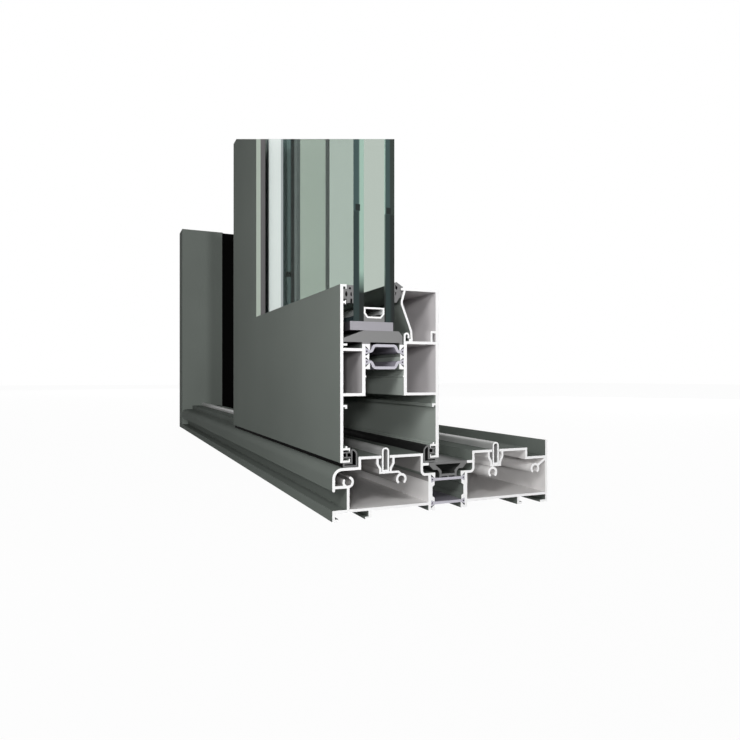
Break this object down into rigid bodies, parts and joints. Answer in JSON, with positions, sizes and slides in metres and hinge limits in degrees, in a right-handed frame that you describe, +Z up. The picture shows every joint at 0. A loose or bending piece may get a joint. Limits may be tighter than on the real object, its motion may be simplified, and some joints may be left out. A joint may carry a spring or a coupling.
{
  "type": "sectioned corner sample of a sliding patio door",
  "caption": "Cut-open corner of a thermally broken sliding patio door: two-track sill, jamb and one double-glazed sash that slides along the outer track.",
  "frame": {"origin": "centre of the sample's outline at the underside of the sill's feet", "axes": "+X from the weather side to the room side, +Y along the tracks from the cut end to the jamb, +Z up"},
  "size_m": [0.1392, 0.684, 0.296],
  "materials": {
    "coated_aluminium": "satin powder coat, warm green-grey",
    "track_aluminium": "mill finish, extruded",
    "polyamide": "glass-filled polyamide",
    "cover_grey": "dark grey plastic",
    "cover_black": "black plastic",
    "gasket_rubber": "black sealing rubber",
    "float_glass": "pale green float glass",
    "spacer_aluminium": "bright rolled spacer",
    "edge_sealant": "grey polysulphide",
    "bridge_plastic": "mid grey plastic",
    "block_plastic": "pale grey plastic",
    "wheel_acetal": "white acetal",
    "zinc_steel": "zinc plated steel"
  },
  "bodies": {
    "frame": {"inner_track_rail": "track_aluminium", "jamb_centre_cover": "cover_black", "jamb_front_strip": "polyamide", "jamb_inner_profile": "coated_aluminium", "jamb_outer_profile": "coated_aluminium", "jamb_rear_strip": "polyamide", "outer_track_rail": "track_aluminium", "sill_centre_cover": "cover_grey", "sill_inner_profile": "coated_aluminium", "sill_lower_strip": "polyamide", "sill_outer_profile": "coated_aluminium", "sill_upper_strip": "polyamide"},
    "sash": {"bottom_rail_edge_sealant": "edge_sealant", "bottom_rail_glazing_bead": "coated_aluminium", "bottom_rail_inner_flap_seal": "gasket_rubber", "bottom_rail_inner_glazing_gasket": "gasket_rubber", "bottom_rail_inner_profile": "coated_aluminium", "bottom_rail_lower_strip": "polyamide", "bottom_rail_outer_flap_seal": "gasket_rubber", "bottom_rail_outer_glazing_gasket": "gasket_rubber", "bottom_rail_outer_profile": "coated_aluminium", "bottom_rail_spacer_bar": "spacer_aluminium", "bottom_rail_upper_strip": "polyamide", "glazing_bridge": "bridge_plastic", "inner_glass_pane": "float_glass", "outer_glass_pane": "float_glass", "roller_axle": "zinc_steel", "roller_carriage": "zinc_steel", "roller_wheel": "wheel_acetal", "setting_blocks": "block_plastic", "stile_edge_sealant": "edge_sealant", "stile_glazing_bead": "coated_aluminium", "stile_inner_flap_seal": "gasket_rubber", "stile_inner_glazing_gasket": "gasket_rubber", "stile_inner_profile": "coated_aluminium", "stile_lower_strip": "polyamide", "stile_outer_flap_seal": "gasket_rubber", "stile_outer_glazing_gasket": "gasket_rubber", "stile_outer_profile": "coated_aluminium", "stile_spacer_bar": "spacer_aluminium", "stile_upper_strip": "polyamide"}
  },
  "joints": [
    {"name": "sash_slide", "type": "slide", "parent": "frame", "child": "sash", "axis": [0, 1, 0], "range_m": [0, 0.358]}
  ]
}
